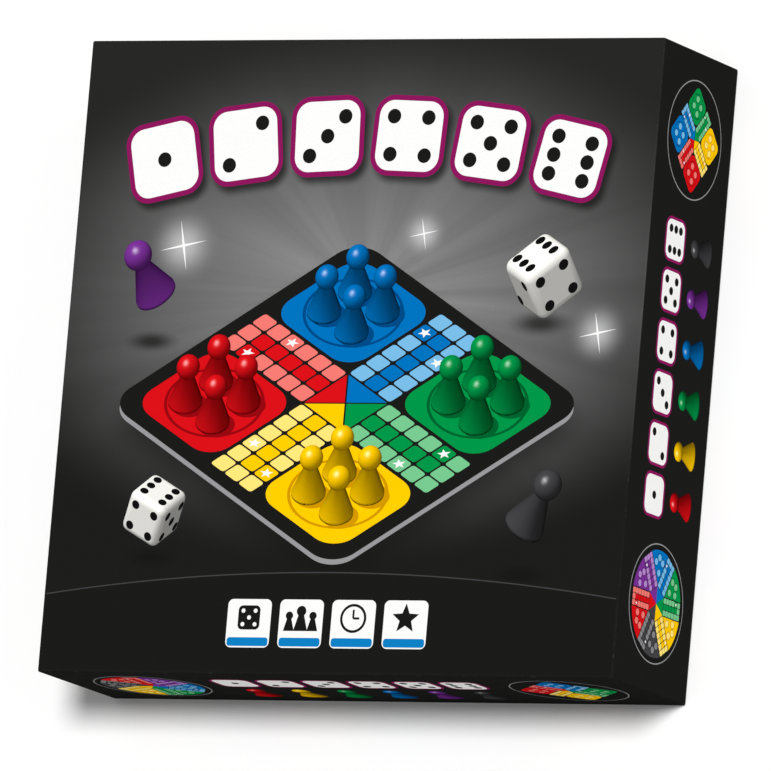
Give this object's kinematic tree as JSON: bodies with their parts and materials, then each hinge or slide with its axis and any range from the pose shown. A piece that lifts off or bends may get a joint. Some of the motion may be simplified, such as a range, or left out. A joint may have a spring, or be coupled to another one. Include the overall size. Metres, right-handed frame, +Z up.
{
  "type": "board game",
  "caption": "Square board game box with a full-depth lift-off lid over a tray, holding a folding-card insert, a two-sided cross-and-circle board, coloured pawns, a die and a leaflet.",
  "frame": {"origin": "middle of the closed box's underside", "axes": "+Z up through the lid with the box lying on its base, +Y towards the top edge of the lid's picture, +X to the right of that picture"},
  "size_m": [0.27, 0.27, 0.07],
  "materials": {
    "greyboard": "matt grey pulp board",
    "kraft_tape": "gummed brown paper tape",
    "printed_wrap": "printed paper with a satin film",
    "black_wrap": "black paper with a satin film",
    "insert_card": "white-lined folding card",
    "board_print": "printed paper with a satin film",
    "leaflet_paper": "uncoated white paper",
    "die_plastic": "polished white",
    "pip_paint": "black paint",
    "red_plastic": "moulded, glossy",
    "yellow_plastic": "moulded, glossy",
    "green_plastic": "moulded, glossy",
    "blue_plastic": "moulded, glossy",
    "purple_plastic": "moulded, glossy",
    "black_plastic": "moulded, glossy"
  },
  "bodies": {
    "base": {"base_board": "greyboard", "base_corner_stays": "kraft_tape", "base_wrap": "black_wrap"},
    "lid": {"lid_board": "greyboard", "lid_corner_stays": "kraft_tape", "lid_wrap": "printed_wrap"},
    "leaflet": {"rules_leaflet": "leaflet_paper"},
    "board": {"board_back_sheet": "board_print", "board_core": "greyboard", "board_front_sheet": "board_print"},
    "insert": {"insert_card": "insert_card", "insert_divider_1": "insert_card", "insert_divider_2": "insert_card", "insert_divider_3": "insert_card", "insert_divider_4": "insert_card", "insert_divider_5": "insert_card", "insert_divider_6": "insert_card"},
    "die": {"die": "die_plastic", "die_pips": "pip_paint"},
    "red_pawn_1": {"red_pawn_1": "red_plastic"},
    "red_pawn_2": {"red_pawn_2": "red_plastic"},
    "red_pawn_3": {"red_pawn_3": "red_plastic"},
    "red_pawn_4": {"red_pawn_4": "red_plastic"},
    "yellow_pawn_1": {"yellow_pawn_1": "yellow_plastic"},
    "yellow_pawn_2": {"yellow_pawn_2": "yellow_plastic"},
    "yellow_pawn_3": {"yellow_pawn_3": "yellow_plastic"},
    "yellow_pawn_4": {"yellow_pawn_4": "yellow_plastic"},
    "green_pawn_1": {"green_pawn_1": "green_plastic"},
    "green_pawn_2": {"green_pawn_2": "green_plastic"},
    "green_pawn_3": {"green_pawn_3": "green_plastic"},
    "green_pawn_4": {"green_pawn_4": "green_plastic"},
    "blue_pawn_1": {"blue_pawn_1": "blue_plastic"},
    "blue_pawn_2": {"blue_pawn_2": "blue_plastic"},
    "blue_pawn_3": {"blue_pawn_3": "blue_plastic"},
    "blue_pawn_4": {"blue_pawn_4": "blue_plastic"},
    "purple_pawn_1": {"purple_pawn_1": "purple_plastic"},
    "purple_pawn_2": {"purple_pawn_2": "purple_plastic"},
    "purple_pawn_3": {"purple_pawn_3": "purple_plastic"},
    "purple_pawn_4": {"purple_pawn_4": "purple_plastic"},
    "black_pawn_1": {"black_pawn_1": "black_plastic"},
    "black_pawn_2": {"black_pawn_2": "black_plastic"},
    "black_pawn_3": {"black_pawn_3": "black_plastic"},
    "black_pawn_4": {"black_pawn_4": "black_plastic"}
  },
  "joints": [
    {"name": "lid_lift", "type": "slide", "parent": "base", "child": "lid", "axis": [0, 0, 1], "range_m": [0, 0.4]},
    {"name": "leaflet_lift", "type": "slide", "parent": "base", "child": "leaflet", "axis": [0, 0, 1], "range_m": [0, 0.27]},
    {"name": "board_lift", "type": "slide", "parent": "base", "child": "board", "axis": [0, 0, 1], "range_m": [0, 0.2]},
    {"name": "insert_lift", "type": "slide", "parent": "base", "child": "insert", "axis": [0, 0, 1], "range_m": [0, 0.08]},
    {"name": "die_lift", "type": "slide", "parent": "insert", "child": "die", "axis": [0, 0, 1], "range_m": [0, 0.06]},
    {"name": "red_pawn_1_lift", "type": "slide", "parent": "insert", "child": "red_pawn_1", "axis": [0, 0, 1], "range_m": [0, 0.06]},
    {"name": "red_pawn_2_lift", "type": "slide", "parent": "insert", "child": "red_pawn_2", "axis": [0, 0, 1], "range_m": [0, 0.06]},
    {"name": "red_pawn_3_lift", "type": "slide", "parent": "insert", "child": "red_pawn_3", "axis": [0, 0, 1], "range_m": [0, 0.06]},
    {"name": "red_pawn_4_lift", "type": "slide", "parent": "insert", "child": "red_pawn_4", "axis": [0, 0, 1], "range_m": [0, 0.06]},
    {"name": "yellow_pawn_1_lift", "type": "slide", "parent": "insert", "child": "yellow_pawn_1", "axis": [0, 0, 1], "range_m": [0, 0.06]},
    {"name": "yellow_pawn_2_lift", "type": "slide", "parent": "insert", "child": "yellow_pawn_2", "axis": [0, 0, 1], "range_m": [0, 0.06]},
    {"name": "yellow_pawn_3_lift", "type": "slide", "parent": "insert", "child": "yellow_pawn_3", "axis": [0, 0, 1], "range_m": [0, 0.06]},
    {"name": "yellow_pawn_4_lift", "type": "slide", "parent": "insert", "child": "yellow_pawn_4", "axis": [0, 0, 1], "range_m": [0, 0.06]},
    {"name": "green_pawn_1_lift", "type": "slide", "parent": "insert", "child": "green_pawn_1", "axis": [0, 0, 1], "range_m": [0, 0.06]},
    {"name": "green_pawn_2_lift", "type": "slide", "parent": "insert", "child": "green_pawn_2", "axis": [0, 0, 1], "range_m": [0, 0.06]},
    {"name": "green_pawn_3_lift", "type": "slide", "parent": "insert", "child": "green_pawn_3", "axis": [0, 0, 1], "range_m": [0, 0.06]},
    {"name": "green_pawn_4_lift", "type": "slide", "parent": "insert", "child": "green_pawn_4", "axis": [0, 0, 1], "range_m": [0, 0.06]},
    {"name": "blue_pawn_1_lift", "type": "slide", "parent": "insert", "child": "blue_pawn_1", "axis": [0, 0, 1], "range_m": [0, 0.06]},
    {"name": "blue_pawn_2_lift", "type": "slide", "parent": "insert", "child": "blue_pawn_2", "axis": [0, 0, 1], "range_m": [0, 0.06]},
    {"name": "blue_pawn_3_lift", "type": "slide", "parent": "insert", "child": "blue_pawn_3", "axis": [0, 0, 1], "range_m": [0, 0.06]},
    {"name": "blue_pawn_4_lift", "type": "slide", "parent": "insert", "child": "blue_pawn_4", "axis": [0, 0, 1], "range_m": [0, 0.06]},
    {"name": "purple_pawn_1_lift", "type": "slide", "parent": "insert", "child": "purple_pawn_1", "axis": [0, 0, 1], "range_m": [0, 0.06]},
    {"name": "purple_pawn_2_lift", "type": "slide", "parent": "insert", "child": "purple_pawn_2", "axis": [0, 0, 1], "range_m": [0, 0.06]},
    {"name": "purple_pawn_3_lift", "type": "slide", "parent": "insert", "child": "purple_pawn_3", "axis": [0, 0, 1], "range_m": [0, 0.06]},
    {"name": "purple_pawn_4_lift", "type": "slide", "parent": "insert", "child": "purple_pawn_4", "axis": [0, 0, 1], "range_m": [0, 0.06]},
    {"name": "black_pawn_1_lift", "type": "slide", "parent": "insert", "child": "black_pawn_1", "axis": [0, 0, 1], "range_m": [0, 0.06]},
    {"name": "black_pawn_2_lift", "type": "slide", "parent": "insert", "child": "black_pawn_2", "axis": [0, 0, 1], "range_m": [0, 0.06]},
    {"name": "black_pawn_3_lift", "type": "slide", "parent": "insert", "child": "black_pawn_3", "axis": [0, 0, 1], "range_m": [0, 0.06]},
    {"name": "black_pawn_4_lift", "type": "slide", "parent": "insert", "child": "black_pawn_4", "axis": [0, 0, 1], "range_m": [0, 0.06]}
  ],
  "couplings": [
    {"joint": "leaflet_lift", "follows": "lid_lift", "ratio": 0.675},
    {"joint": "board_lift", "follows": "lid_lift", "ratio": 0.5},
    {"joint": "insert_lift", "follows": "lid_lift", "ratio": 0.2},
    {"joint": "die_lift", "follows": "lid_lift", "ratio": 0.15},
    {"joint": "red_pawn_1_lift", "follows": "lid_lift", "ratio": 0.15},
    {"joint": "red_pawn_2_lift", "follows": "lid_lift", "ratio": 0.15},
    {"joint": "red_pawn_3_lift", "follows": "lid_lift", "ratio": 0.15},
    {"joint": "red_pawn_4_lift", "follows": "lid_lift", "ratio": 0.15},
    {"joint": "yellow_pawn_1_lift", "follows": "lid_lift", "ratio": 0.15},
    {"joint": "yellow_pawn_2_lift", "follows": "lid_lift", "ratio": 0.15},
    {"joint": "yellow_pawn_3_lift", "follows": "lid_lift", "ratio": 0.15},
    {"joint": "yellow_pawn_4_lift", "follows": "lid_lift", "ratio": 0.15},
    {"joint": "green_pawn_1_lift", "follows": "lid_lift", "ratio": 0.15},
    {"joint": "green_pawn_2_lift", "follows": "lid_lift", "ratio": 0.15},
    {"joint": "green_pawn_3_lift", "follows": "lid_lift", "ratio": 0.15},
    {"joint": "green_pawn_4_lift", "follows": "lid_lift", "ratio": 0.15},
    {"joint": "blue_pawn_1_lift", "follows": "lid_lift", "ratio": 0.15},
    {"joint": "blue_pawn_2_lift", "follows": "lid_lift", "ratio": 0.15},
    {"joint": "blue_pawn_3_lift", "follows": "lid_lift", "ratio": 0.15},
    {"joint": "blue_pawn_4_lift", "follows": "lid_lift", "ratio": 0.15},
    {"joint": "purple_pawn_1_lift", "follows": "lid_lift", "ratio": 0.15},
    {"joint": "purple_pawn_2_lift", "follows": "lid_lift", "ratio": 0.15},
    {"joint": "purple_pawn_3_lift", "follows": "lid_lift", "ratio": 0.15},
    {"joint": "purple_pawn_4_lift", "follows": "lid_lift", "ratio": 0.15},
    {"joint": "black_pawn_1_lift", "follows": "lid_lift", "ratio": 0.15},
    {"joint": "black_pawn_2_lift", "follows": "lid_lift", "ratio": 0.15},
    {"joint": "black_pawn_3_lift", "follows": "lid_lift", "ratio": 0.15},
    {"joint": "black_pawn_4_lift", "follows": "lid_lift", "ratio": 0.15}
  ]
}
